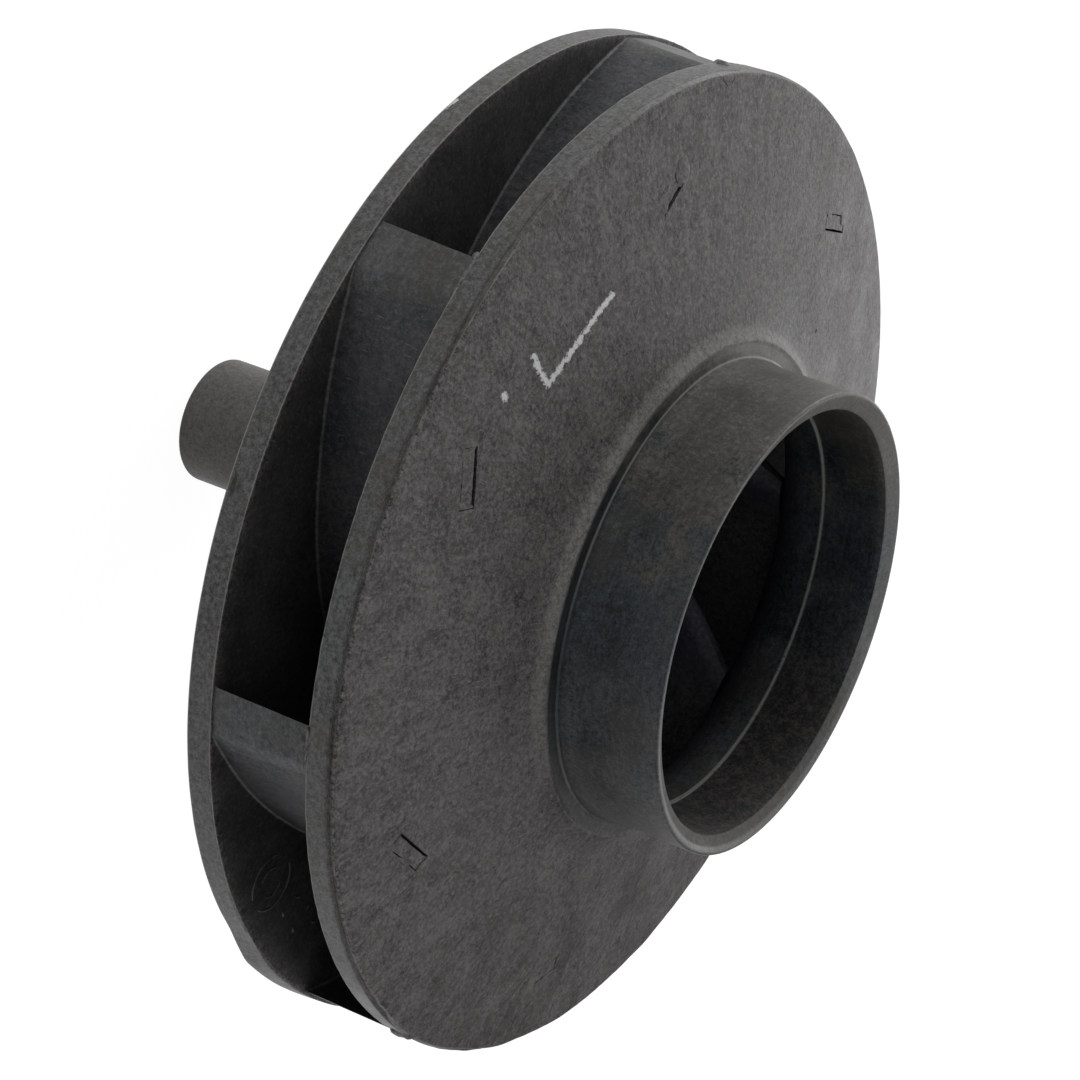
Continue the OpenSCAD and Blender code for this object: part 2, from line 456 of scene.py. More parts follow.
def mouldedPlastic(look, pencil, litWornEdges, litRubbedEdges):
    material, tree, shader = newMaterial("mouldedPlastic", {"IOR": 1.5})
    place, x, y, z, far = objectPlace(tree)
    # polar place, squeezed so that the grain runs from the axis outwards
    around = look["radiusOfFlow"]
    flow = vector(tree, x / far * around, y / far * around, (far + z) * look["flow"])
    grain = speckle(tree, flow, look["flowGrain"], 4.0, 0.95)
    fine = speckle(tree, place, look["fineGrain"], 3.0, 0.95)
    cloud = speckle(tree, place, look["cloud"], 2.0, 0.6)
    patch = speckle(tree, place, look["patch"], 3.0, 0.7)
    grain = (grain - 0.5) * (far.between(*look["grainZone"]) * 0.75 + 0.25)
    tone = grain * look["grainShare"] + (fine - 0.5) * look["fineShare"] + (cloud - 0.5) * look["cloudShare"]
    tone = tone + (patch - 0.5) * look["patchShare"] + 0.5
    brown = patch.between(0.42, 0.58) * (1.0 - tone.share()) * look["brownShare"]

    # places by their height and radius: the passages' floor, the vanes, the mould marks with a painted highlight,
    # and the shoulder by the collar, rubbed and with a painted highlight
    onFloor = z.between(floorHeight + 0.06, floorHeight + 0.01) * far.between(70.9, 70.2)
    onFloor = onFloor * z.between(floorHeight - 0.4, floorHeight - 0.1)
    onVane = z.between(floorHeight + 0.05, floorHeight + 0.3) * z.between(faceHeight - 0.5, faceHeight - 1.5)
    onVane = onVane * far.between(70.6, 70.2) * far.between(36.0, 44.0)
    # painted highlight on what stands just above the passages' floor, such as the mould marks
    raised = z.between(floorHeight + 0.02, floorHeight + 0.1) * z.between(floorHeight + 0.45, floorHeight + 0.3)
    # the shoulder by the collar is lighter on its upper side: rubbed wear and a painted highlight
    rubbedAndLit = nearEdges(far, z, litRubbedEdges, look["rubbedWidth"]).between(0.0, 0.65) * x.between(-26.0, 0.0)
    rubbedAndLit = (rubbedAndLit + raised).share() * (tone * 0.5 + 0.45) * 0.5
    # painted light on the hub, standing in for light bounced up onto it
    hubPaintedLight = z.between(52.0, 49.0) * far.between(14.0, 12.0) * look["hubShare"] * (fine + 0.5)
    # the walls inside the eye are painted darker and bluer
    inside = far.between(36.0, 31.0) * z.between(88.0, 87.0) * z.between(discBack, discBack + 1.0)

    # chopped glass in two directions, and more of it along the flow
    length, width, line = look["fibreLength"], look["fibreWidth"], look["fibreLine"]
    first, second = (fibres(tree, place, turn, length, width, line) for turn in look["fibreTurns"])
    glass = first + second + fibres(tree, flow, (0, pi / 2, 0), length * 0.6, width, line)
    glass = (glass * look["fibreShare"] + fine.between(0.63, 0.75) * look["speckShare"]).share()

    # lighter lines along the edges: edge wear and painted edge highlights
    worn = nearEdges(far, z, litWornEdges, look["wornWidth"]) * fine.between(0.4, 0.6) * look["wornShare"]
    drawn = nearStrokes(tree, place, pencil["strokes"], pencil["width"])
    chalk = (drawn + (fine - 0.5) * 3.6).between(0.2, 0.65) * drawn.between(0.0, 0.12)
    flat = vector(tree, x, y)
    pit = nearStrokes(tree, flat, look["pit"], 0.36) * 2.0
    split = nearStrokes(tree, flat, look["split"], 0.34) * fine.between(0.36, 0.52) * 0.8
    holes = (pit + split).share() * z.between(73.0, 74.0)
    colour = coats(
        tree, look["dark"], (tone.share(), look["light"]), (brown, look["brown"]),
        (onFloor * look["skinShare"], look["skin"]), (onVane * look["wallShare"], look["wall"]),
        (rubbedAndLit, look["worn"]), (glass, look["fibre"]), (hubPaintedLight, look["worn"]),
        (inside * (1.0 - look["insideEye"]), look["eye"]), (worn, look["worn"]), (chalk * 0.9, pencil["colour"]),
        (holes, look["hole"]))
    gloss = (tone.share() * 0.55 + 0.72) * look["gloss"] * (1.0 - holes)
    plug(tree, gloss, shader.inputs["Specular IOR Level"])
    roughness = (cloud - 0.5) * 0.4 + look["roughness"]
    finishMaterial(tree, shader, colour, roughness, speckle(tree, place, look["fineGrain"] * 1.3, 2.0, 0.9),
                   look["depth"])
    return material


def turnedPlastic(look, litWornEdges, litWornColour):
    material, tree, shader = newMaterial("turnedPlastic", {"IOR": 1.5})
    place, x, y, z, far = objectPlace(tree)
    # lines run round the axis: their pattern hardly changes with the angle
    track = vector(tree, x / far * look["lineWay"], y / far * look["lineWay"], (far + z) * look["line"])
    lines = speckle(tree, track, 1.0, 2.0, 0.7)
    fine = speckle(tree, place, look["fineGrain"], 4.0, 0.95)
    cloud = speckle(tree, place, look["cloud"], 3.0, 0.6)
    tone = (lines - 0.5) * look["lineShare"] + (fine - 0.5) * look["fineShare"]
    tone = tone + (cloud - 0.5) * look["cloudShare"] + 0.5

    # painted light and shade on the collar: lighter and warm brown where it is turned up, darker and cold where it
    # is turned to the side
    onCollar = z.between(shoulderFoot - 1.0, shoulderFoot)
    stray = (cloud - 0.5) * look["stray"]
    warm = onCollar * (x + stray).between(10.0, 27.0)
    cold = onCollar * ((x - 4.0).call("ABSOLUTE") + stray).between(16.0, 3.0)
    # brown stains, more of them at the top and bottom of the eye
    stain = speckle(tree, place, look["stainSize"], 4.0, 0.62) + x.call("ABSOLUTE") * 0.0055
    stain = stain.between(0.53, 0.66) * (1.0 - tone.share()) * 0.9
    joint = z.between(floorHeight, floorHeight + 0.1) * z.between(impeller["roof"], impeller["roof"] - 0.1)
    onRim = far.between(70.1, 70.5) * fine.between(0.35, 0.65) * (1.0 - joint)
    # short bright scratches
    scratches = fibres(tree, place, look["scratchTurn"], look["scratchLength"], look["scratchWidth"], 0.2)
    scratches = ((scratches + fine.between(0.63, 0.75)) * look["scratchShare"]).share()

    # dried dirt lies low in the bore
    inBore = far.between(32.0, 31.5) * z.between(boreFoot, boreFoot + 0.5) * x.between(-4.0, -20.0)
    dirt = speckle(tree, place, look["grimeSize"], 5.0, 0.85).between(0.4, 0.62)
    grime = inBore * (dirt * 0.6 + 0.4)
    mottled = (dirt * 0.95 + (fine - 0.5) * 3.2 - 0.08).share()
    # the chamfer of the eye is painted lighter: burnished, with a painted highlight
    mouth = z.between(collarTop - 1.1, collarTop - 0.9) * far.between(33.0, 32.6)
    scuff = nearStrokes(tree, place, look["scuff"], 0.6)
    scuff = (scuff + (fine - 0.5) * 3.0).between(0.3, 0.6) * scuff.between(0.0, 0.2)
    # painted shade in the corner at the foot of the collar, on the side away from the light
    cornerShade = nearEdges(far, z, look["sootCorner"], look["sootWidth"]).between(0.0, 0.4) * x.between(38.0, 14.0)
    cornerShade = cornerShade * (x.between(-28.0, -8.0) * 0.35 + 0.4)
    # lighter lines along the edges: edge wear and painted edge highlights
    worn = nearEdges(far, z, litWornEdges, look["wornWidth"]) * fine.between(0.32, 0.46)
    # painted highlight along the top edge of the collar's step, stronger on the upper side
    footLine = nearEdges(far, z, look["footLine"], look["footLineWidth"]) * (x.between(-4.0, 22.0) * 0.85 + 0.15)
    worn = (worn * 1.5 + footLine * 0.8).share()

    light = coats(tree, look["light"], (warm, look["warm"]), (cold, look["cold"]))
    colour = coats(
        tree, look["dark"], (tone.share(), light), (stain, look["stain"]), (onRim * look["rimShare"], litWornColour),
        (scratches, look["scratch"]), (inBore * 0.85, coats(tree, look["dark"], (mottled, look["grime"]))),
        (mouth * look["mouthShare"], litWornColour), (scuff, look["chalky"]), (cornerShade, look["dark"]), (worn, litWornColour))
    gloss = (tone.share() * 0.55 + 0.72) * look["gloss"] * (1.0 - grime * 0.7)
    plug(tree, gloss, shader.inputs["Specular IOR Level"])
    roughness = (cloud - 0.5) * 0.4 + look["roughness"] + grime * 0.45
    finishMaterial(tree, shader, colour, roughness, lines, look["depth"])
    return material


brassLook = {
    "dark": (0.36, 0.24, 0.1),
    "light": (0.78, 0.58, 0.29),
    "line": 6.0,
    "spot": 0.7,
    "depth": 0.02,
}


def insertBrass(look):
    material, tree, shader = newMaterial("insertBrass", {"Metallic": 1.0})
    place, x, y, z, far = objectPlace(tree)
    lines = speckle(tree, vector(tree, x / far, y / far, (far + z) * look["line"]), 1.0, 2.0, 0.6)
    spots = speckle(tree, place, look["spot"], 4.0, 0.65)
    colour = coats(tree, look["dark"], (spots.between(0.35, 0.7), look["light"]))
    finishMaterial(tree, shader, colour, spots * 0.3 + 0.25, lines * 0.6 + spots * 0.3, look["depth"])
    return material


# edges painted lighter: edge wear and painted edge highlights
litWornRims = (
    (impeller["rearRim"], discBack + 0.1), (impeller["rearRim"], floorHeight),
    (impeller["frontRim"], impeller["roof"]), (impeller["frontRim"] - 0.6, faceHeight),
    (mountRadius["suction_bore"], boreFoot), (mountRadius["suction_bore"] - 0.4, boreFoot),
)
# the shoulder by the collar, painted lighter: rubbed wear and a painted highlight
litRubbedShoulder = ((mountRadius["collar_seat"] + 3.2, shoulderFoot + 0.6),)
plastic = mouldedPlastic(plasticLook, pencilLook, litWornRims, litRubbedShoulder)
turned = turnedPlastic(turnedLook, litWornRims, plasticLook["worn"])
brass = insertBrass(brassLook)
print("materials made")


# What differs from vane to vane: neither the slots nor the tips stand quite evenly
vanePlaces = {
    "turn": [2 * pi * k / impeller["vaneCount"] for k in range(impeller["vaneCount"])],
    "slotStray": [radians(a) for a in (0.0, -0.7, -1.7, -1.0, -0.4, -0.2, -0.3)],
    "tipStray": [radians(a) for a in (0.5, 0.9, -0.6, 0.0, 0.2, -0.4, 0.3)],
    "tipTwist": [radians(a) for a in (0.0, 0.35, 0.75, 0.2, 0.0, 0.3, 0.1)],
    "tipDrop": [a * mm for a in (0.65, 0.12, 0.0, 0.1, 0.15, 0.2, 0.35)],
    # the crack that the weld left open beside each tab: its two ends along the slot and its width, in mm
    "crackStart": (-1.3, -4.1, -4.1, 0.0, -3.0, -4.1, -4.1),
    "crackEnd": (2.9, 3.9, 4.1, 0.1, 4.1, 2.5, 4.1),
    "crackWidth": (0.55, 0.46, 0.34, 0.02, 0.4, 0.45, 0.3),
    "farGap": (0.03, 0.1, 0.14, 0.04, 0.1, 0.06, 0.12),
}
vaneShape = {
    "Stations": 70,
    "Side rows": 6,
    "Fillet rows": 5,
    "Vane angle": radians(impeller["vaneAngle"]),
    "Tip wall": 2.4 * mm,
    "Inner wall": 4.0 * mm,
    "Inner radius at the floor": 25.0 * mm,
    "Inner radius at the roof": 35.0 * mm,
    "Tip radius at the floor": impeller["frontRim"] * mm + 0.25 * mm,
    "Draft": 0.25 * mm,        # added to each side at the floor
    "Root fillet": 0.4 * mm,
    "Nose": 1.7 * mm,          # reach of the rounded inner end
    "Seam": 0.05 * mm,         # open joint under the front moulding
    "Sink": 0.5 * mm,
}
slotShape = {
    "Slot radius": 59.2 * mm,
    "Slot length": 7.9 * mm,
    "Slot width": 2.5 * mm,
    "Slot shift": -0.15 * mm,
    "Slot wobble": 0.05 * mm,
}
tabShape = {
    "Tab gap": 0.03 * mm,
    "Tab recess": 0.05 * mm,
    "Tab wobble": 0.07 * mm,
    "Tab depth": 2.5 * mm,
    "Tab stations": 33,
}
impellerHeights = {
    "Floor": floorHeight * mm,
    "Roof": impeller["roof"] * mm,
    "Face": faceHeight * mm,
    "Front rim": impeller["frontRim"] * mm,
    "Cone slope": coneSlope,
}


def vaneWall(radius):
    inner, outer = vaneShape["Inner wall"] / mm, vaneShape["Tip wall"] / mm
    start = vaneShape["Inner radius at the floor"] / mm
    return inner - (inner - outer) * ((radius - start) / (impeller["frontRim"] - start)) ** 4


def slotPlace():
    # centre of the first slot, halfway through its vane, and the way it points
    angle, radius = vaneShape["Vane angle"], slotShape["Slot radius"] / mm
    station = radius + vaneWall(radius) / 2 * cos(angle)
    wrap = math.log(impeller["frontRim"] / station) / math.tan(angle)
    depth = vaneWall(station) / 2
    x = station * cos(wrap) - depth * cos(wrap + angle)
    y = station * sin(wrap) - depth * sin(wrap + angle)
    return (x * mm, y * mm, 0.0), wrap + angle


slotShape["Slot place"], slotShape["Slot turn"] = slotPlace()


def rotated(x, y, angle):
    return x * angle.call("COSINE") - y * angle.call("SINE"), x * angle.call("SINE") + y * angle.call("COSINE")


def slotToPart(tree, v, across, along, turn):
    # from the slot's own frame to the part's
    slotX, slotY = parts(tree, v["Slot place"])[:2]
    x, y = rotated(across + v["Slot shift"], along, v["Slot turn"])
    return rotated(x + slotX, y + slotY, turn)


def onCone(v, x, y, rimHeight="Face"):
    return v[rimHeight] + (v["Front rim"] - farFrom(x, y)) * v["Cone slope"]


def vaneSolids(tree, v):
    # a block of stations by 7 by rows is bent into each vane: a logarithmic spiral with rounded inner end
    angle, floor, innerFoot = v["Vane angle"], v["Floor"], v["Inner radius at the floor"]
    blocks = copiesAt(tree, v["Geometry"], block(tree, v["Stations"], 7, v["Fillet rows"] + v["Side rows"] + 2))
    along, across, up = position(tree)
    along = along + 0.5
    side = (across * pi).call("SINE")  # 1 on the outer face, -1 on the inner face
    row = (up + 0.5) * (v["Fillet rows"] + v["Side rows"] + 1)
    filletTurn = ((row - 1.0) / v["Fillet rows"]).share() * (pi / 2)
    lift = ((row - 1.0 - v["Fillet rows"]) / v["Side rows"]).share()
    buried = 1.0 - row.share()
    flare = (1.0 - filletTurn.call("SINE")) * v["Root fillet"] + (1.0 - lift) * v["Draft"]

    tipDepth = v["Tip wall"] * (1.0 - side) * 0.5 - side * flare
    rim = v["Tip radius at the floor"] + (v["Front rim"] - v["Tip radius at the floor"]) * lift - buried * v["Sink"]
    rim = rim - column(tree, "tipDrop") * (lift * 0.85 + 0.15)
    offAxis = tipDepth * angle.call("SINE")
    outer = tipDepth * angle.call("COSINE") + (rim * rim - offAxis * offAxis).call("SQRT")
    inner = innerFoot + (v["Inner radius at the roof"] - innerFoot) * lift
    inner = inner + v["Nose"] * (1.0 - (1.0 - side * side).call("MAXIMUM", 0.0).call("SQRT")) - flare
    radius = inner + (outer - inner) * along
    reach = ((radius - innerFoot) / (v["Front rim"] - innerFoot)).share()
    wall = v["Inner wall"] - (v["Inner wall"] - v["Tip wall"]) * reach.call("POWER", 4.0)
    depth = wall * (1.0 - side) * 0.5 - side * flare
    wrap = (v["Front rim"] / radius).call("LOGARITHM", math.e) / angle.call("TANGENT")
    x = radius * wrap.call("COSINE") - depth * (wrap + angle).call("COSINE")
    y = radius * wrap.call("SINE") - depth * (wrap + angle).call("SINE")
    height = onCone(v, x, y, "Roof") - floor - v["Seam"] - v["Root fillet"]
    z = floor + (1.0 - filletTurn.call("COSINE")) * v["Root fillet"] + height * lift - buried * v["Sink"]

    past = ((farFrom(x, y) - v["Slot radius"]) / (v["Front rim"] - v["Slot radius"])).share()
    tipTurn = column(tree, "tipStray") + column(tree, "tipTwist") * (1.0 - lift)
    stray = column(tree, "slotStray") + (tipTurn - column(tree, "slotStray")) * past
    x, y = rotated(x, y, column(tree, "turn") + stray)
    return movedTo(tree, blocks, x, y, z)


def tabSolids(tree, v):
    # tabs fill their slots but for the crack; each top follows the cone just below the face
    blocks = copiesAt(tree, v["Geometry"], block(tree, 3, v["Tab stations"], 2))
    across, along, up = position(tree)
    turn = column(tree, "turn") + column(tree, "slotStray")
    rough = wobble(tree, vector(tree, across, along * 6.0, turn * 9.0), 1.6)
    along = along * (v["Slot length"] - v["Tab gap"] * 2.0)
    ends = ((along / mm - column(tree, "crackStart")) * 2.0).share()
    ends = ends * ((column(tree, "crackEnd") - along / mm) * 2.0).share()
    crack = column(tree, "crackWidth") * mm * ends * (rough * 0.3 + 1.0)
    half = v["Slot width"] * 0.5 - v["Tab gap"]
    farGap = column(tree, "farGap") * mm * (rough * 1.2 + 1.0).call("MAXIMUM", 0.0)
    along = along - along * 2.0 * farGap / v["Slot length"]
    across = across * half * 2.0 + crack * (0.5 - across) - farGap * (across + 0.5)
    x, y = slotToPart(tree, v, across, along, turn)
    top = onCone(v, x, y) - v["Tab recess"] + v["Tab wobble"] * rough
    foot = onCone(v, x, y, "Roof") - v["Tab depth"]
    raised = up.call("GREATER_THAN", 0.0)
    return movedTo(tree, blocks, x, y, top * raised + foot * (1.0 - raised))


def rearTree(tree, v):
    tabs, vanes = tabSolids(tree, v), vaneSolids(tree, v)
    return meshBoolean(tree, "UNION", meshOf(tree, v["Body"]), meshBoolean(tree, "UNION", vanes, tabs))


# The rear moulding: hub, disc and nose, with the vanes and tabs on it
rearShape = {
    "hubBevel": 0.5,
    "hubFillet": 2.0,
    "rimBevel": 0.3,
    "rimRound": 0.12,
    "noseRadius": 17.0,
    "noseHeight": 9.0,
    "noseSteps": 16,
    "reliefRadius": 5.75,
    "reliefDepth": 8.0,
    "insertSeat": 7.05,
}


def rearOutline(shape):
    hub, rim, seat = mountRadius["seal_seat"], impeller["rearRim"], insertHigh.z / mm
    relief, bevel, fillet = seat + shape["reliefDepth"], shape["hubBevel"], shape["hubFillet"]
    rimBevel, rimRound, steps = shape["rimBevel"], shape["rimRound"], shape["noseSteps"]
    nose = [(shape["noseRadius"] * (1 - i / steps),
             floorHeight + shape["noseHeight"] * (1 - cos(pi * i / steps)) / 2) for i in range(steps + 1)]
    return [
        (0, relief), (shape["reliefRadius"], relief), (shape["reliefRadius"], seat), (shape["insertSeat"], seat),
        (shape["insertSeat"], 0),
        *arcPoints(hub - bevel, bevel, bevel, -90, 0, 4),
        *arcPoints(hub + fillet, discBack - fillet, fillet, 180, 90),
        *arcPoints(rim - rimBevel, discBack + rimBevel, rimBevel, -90, 0, 4),
        *[(rim, discBack + rimBevel + 0.35 * i) for i in range(1, 10)],
        *arcPoints(rim - rimRound, floorHeight - rimRound, rimRound, 0, 90, 2),
        (rim - 0.5, floorHeight), (rim - 1.2, floorHeight),
        *nose,
    ]


def bump(value, centre, reach):
    # 1 at the centre, 0 a reach away
    share = max(0.0, 1 - abs(value - centre) / reach)
    return share * share * (3 - 2 * share)


def alongTable(value, table):
    for (a, first), (b, last) in zip(table, table[1:]):
        if a <= value <= b:
            return first + (last - first) * (value - a) / (b - a)
    return 0.0


def chance(angle, z, scale, seed):
    # smooth random value between -1 and 1 for a place on the rim
    around, step = 71, 17.3
    return noise.noise(Vector((cos(angle) * around * scale, sin(angle) * around * scale,
                               z * scale + seed * step)))


def reshape(piece, change):
    # moves each vertex outwards and upwards by what change gives for its place, in mm and degrees
    for vertex in piece.data.vertices:
        x, y, z = vertex.co / mm
        far, angle = math.hypot(x, y), math.atan2(y, x)
        outward, upward = change(far, math.degrees(angle) % 360, z, angle)
        vertex.co = Vector(((far + outward) * cos(angle), (far + outward) * sin(angle), z + upward)) * mm


rimWear = {
    # angle and reach of the flash at the back edge
    "flash": ((133.5, 0), (139.5, 0.95), (145, 0.72), (152, 0.5), (160, 0.38), (171, 0)),
    "wornBand": 1.3,
    "rough": 0.06,
    "gouge": (77.4, 53.95),    # angle and height
    "gougeDepth": 0.42,
    "gougeLip": 0.2,
    "chipped": (127, 24),      # where the front edge is most broken, and how far round
    "chipDepth": 0.32,
}


def rearWear(far, degrees, z, angle):
    wear, rim = rimWear, impeller["rearRim"]
    edge = (far - rim + wear["wornBand"]) / wear["wornBand"]
    if edge < 0 or z > floorHeight + 0.01:
        return 0.0, 0.0
    down = (floorHeight - z) / impeller["rearWall"]
    outward = alongTable(degrees, wear["flash"]) * (0.3 + 0.7 * down) * edge
    outward += wear["rough"] * min(0.0, chance(angle, z, 0.25, 1))
    turn, height = wear["gouge"]
    gouge = bump(degrees, turn, 2.0) ** 0.5
    outward -= wear["gougeDepth"] * gouge * bump(z, height, 0.42) * edge
    outward += wear["gougeLip"] * gouge * bump(z, height + 0.6, 0.4) * edge
    upward = 0.0
    if abs(z - floorHeight) < 0.2 and far > rim - 0.6:
        broken = 0.35 + bump(degrees, *wear["chipped"])
        bite = max(0.0, chance(angle, 0, 1.1, 5) + 0.8 * chance(angle, 0, 3.0, 6) - 0.12) * broken
        outward -= wear["chipDepth"] * bite
        upward -= wear["chipDepth"] * 0.6 * bite
    return outward, upward


def paint(mesh, isTurned, sharpAngle=30):
    # the lathe's faces get the second material, and shading is smooth but for sharp edges
    mesh.materials.clear()
    for material in (plastic, turned):
        mesh.materials.append(material)
    for face in mesh.polygons:
        centre = face.center / mm
        far = math.hypot(centre.x, centre.y)
        outward = (face.normal.x * centre.x + face.normal.y * centre.y) / max(far, 0.01)
        face.material_index = int(isTurned(far, centre.z, outward))
    mesh.shade_smooth()
    mesh.set_sharp_from_angle(angle=radians(sharpAngle))


def addStroke(shape, points, radius, sides=8):
    # round bead along points in mm, closed at both ends
    rings = []
    for i, point in enumerate(points):
        way = (Vector(points[min(i + 1, len(points) - 1)]) - Vector(points[max(i - 1, 0)])).normalized()
        across = way.cross(Vector((0, 0, 1))).normalized()
        up = across.cross(way)
        size = radius * (0.45 if i in (0, len(points) - 1) else 1)
        rings.append([shape.verts.new((Vector(point) + across * size * cos(a) + up * size * sin(a)) * mm)
                      for a in (2 * pi * k / sides for k in range(sides))])
    for last, ring in zip(rings, rings[1:]):
        for k in range(sides):
            shape.faces.new((last[k], last[(k + 1) % sides], ring[(k + 1) % sides], ring[k]))
    shape.faces.new(rings[0][::-1])
    shape.faces.new(rings[-1])


def addLump(shape, place, size, seed):
    # rough lump at (radius, degrees, height), with its size outwards, round the rim and upwards
    far, turn, z = place[0], radians(place[1]), place[2]
    ball = bmesh.ops.create_icosphere(shape, subdivisions=3, radius=1)
    for vertex in ball["verts"]:
        swell = 1 + 0.28 * noise.noise(vertex.co * 1.7 + Vector((seed * 3.1, 0, 0)))
        outward, around, upward = (vertex.co[i] * swell * size[i] for i in range(3))
        x, y = far + outward, around
        vertex.co = Vector((x * cos(turn) - y * sin(turn), x * sin(turn) + y * cos(turn),
                            z + upward)) * mm


def joinShells(piece, shells):
    # closed shells become part of the piece's mesh
    whole = bmesh.new()
    whole.from_mesh(piece.data)
    bmesh.ops.recalc_face_normals(shells, faces=shells.faces)
    extra = bpy.data.meshes.new("extra")
    shells.to_mesh(extra)
    whole.from_mesh(extra)
    whole.to_mesh(piece.data)
    for part in (whole, shells):
        part.free()
    bpy.data.meshes.remove(extra)


# Raised marks of the mould on the disc, between two vanes: two plain rings and some dots
mouldMarks = {
    "centre": (-41.3, 50.1),
    "rings": ((4.0, 0.16, 0, 115), (4.0, 0.16, 150, 300), (2.1, 0.14, -20, 80), (2.1, 0.14, 160, 260)),
    "ringSteps": 24,
    "dots": ((-47.2, 45.8), (-45.3, 42.8), (-47.4, 40.0), (-50.1, 42.8), (-50.3, 38.1)),
    "dotLength": 0.9,
    "dotRadius": 0.2,
}


def addMouldMarks(shape, marks):
    x, y = marks["centre"]
    for radius, thickness, start, end in marks["rings"]:
        ring = arcPoints(x, y, radius, start, end, marks["ringSteps"])
        addStroke(shape, [(*spot, floorHeight) for spot in ring], thickness)
    for i, (x, y) in enumerate(marks["dots"]):
        lean = 0.5 + i
        step = Vector((cos(lean), sin(lean), 0)) * marks["dotLength"] / 3
        addStroke(shape, [Vector((x, y, floorHeight)) + step * k for k in range(-1, 3)], marks["dotRadius"])


def makeRearMoulding():
    body = turnOutline("rearBody", rearOutline(rearShape))
    reshape(body, rearWear)
    piece = placesMesh("rearMoulding", vanePlaces)
    inputs = {**vaneShape, **slotShape, **tabShape, **impellerHeights, "Body": body, "Plastic": plastic}
    growMesh(piece, "vanes and tabs", inputs, rearTree)
    bpy.data.objects.remove(body)
    marks = bmesh.new()
    addMouldMarks(marks, mouldMarks)
    joinShells(piece, marks)
    rim = impeller["frontRim"] - 1.0
    paint(piece.data, lambda far, z, outward: far > rim and outward > 0.75)
    return piece


# The front moulding: sloped disc, soft crest, collar and eye, with seven slots
frontShape = {
    "rimRound": 0.2,
    "bandDrop": 0.65,        # how far the rim's band ends below the face
    "grooveDepth": 0.5,
    "faceRound": 0.5,
    "crestFillet": 11.0,
    "crestEnd": 55,
    "crestRound": 0.45,
    "shoulderWidth": 3.1,
    "dipDepth": 0.03,
    "collarStep": 0.65,
    "stepHeight": 0.95,
    "collarTaper": ((0.4, 0.12), (0.34, 0.6), (0.12, 2.2), (0.0, 3.2)),  # outwards of the collar, above the step
    "collarBevel": 0.38,
    "mouthWidth": 2.6,
    "mouthDepth": 1.0,
    "mouthSteps": ((0.35, 0.0), (0.12, 0.7), (0.0, 1.6)),  # outwards of the bore, below the mouth
    "ledge": 0.4,
    "throat": 7.0,
}


def frontOutline(shape):
    rim, collar, bore = impeller["frontRim"], mountRadius["collar_seat"], mountRadius["suction_bore"]
    slope, roof, throat = impeller["coneAngle"], impeller["roof"], shape["throat"]
    cosSlope = cos(radians(slope))
    throatRadius = bore - shape["ledge"]
    mouth, mouthFoot = bore + shape["mouthWidth"], collarTop - shape["mouthDepth"]
    throatX = throatRadius + throat
    throatZ = coneHeight(throatX, roof) + throat / cosSlope

    # rim band, then the groove where the lathe met the moulded skin, then the face
    bandTop, bandRound, groove = faceHeight - shape["bandDrop"], shape["rimRound"], rim - shape["grooveDepth"]
    faceRound = shape["faceRound"]
    faceEdge = groove - faceRound
    band = [(rim, roof + 0.25 + 0.3 * i) for i in range(9)]
    band += [*arcPoints(rim - bandRound, bandTop - bandRound, bandRound, 0, 80, 4), (groove + 0.12, bandTop),
             (groove, bandTop + 0.1), (groove, bandTop + 0.3),
             *arcPoints(faceEdge, coneHeight(faceEdge, faceHeight) - faceRound, faceRound, 10, 78, 4)]

    fillet, crestRound, turn = shape["crestFillet"], shape["crestRound"], radians(shape["crestEnd"])
    crestX = collar + shape["shoulderWidth"] + fillet * cos(turn)
    crestZ = coneHeight(crestX, faceHeight) + fillet / cosSlope
    rise = arcPoints(crestX, crestZ, fillet, 270 - slope, 180 + shape["crestEnd"], 12)
    crest = arcPoints(rise[-1][0] - crestRound * cos(turn), rise[-1][1] - crestRound * sin(turn),
                      crestRound, shape["crestEnd"], 103, 7)
    foot, stepTop = collar + shape["collarStep"], shoulderFoot + shape["stepHeight"]
    startX, startZ = crest[-1]
    dipStart = (startX - 0.3, startZ - shape["dipDepth"])
    bevel = shape["collarBevel"]
    return [
        (throatRadius, boreFoot),
        *arcPoints(throatX, throatZ, throat, 180, 270 - slope, 14),
        (rim - 0.8, coneHeight(rim - 0.8, roof)), (rim - 0.08, roof), (rim, roof + 0.08),
        *band, *rise, *crest,
        (startX - 0.12, startZ - 0.01), dipStart, *splitLine(dipStart, (foot + 0.14, stepTop - 0.1), 0.4),
        (foot, stepTop), (foot - 0.1, stepTop + 0.02),
        *[(collar + outward, stepTop + up) for outward, up in shape["collarTaper"]],
        *arcPoints(collar - bevel, collarTop - bevel, bevel, 0, 90, 8),
        (mouth - 0.2, collarTop - 0.06),
        *splitLine((mouth - 0.35, collarTop - 0.12), (bore + 0.42, mouthFoot + 0.06), 0.5),
        *[(bore + outward, mouthFoot - down) for outward, down in shape["mouthSteps"]], (bore, boreFoot),
    ]


grooveWear = {
    "filled": ((4, 62, 2.0), (149, 9, 1.6)),  # where it is closed: the middle and reach in degrees, and how much
    "ragged": 0.1,
    "edgeRough": 0.045,
    "edgeWavy": 0.06,
}


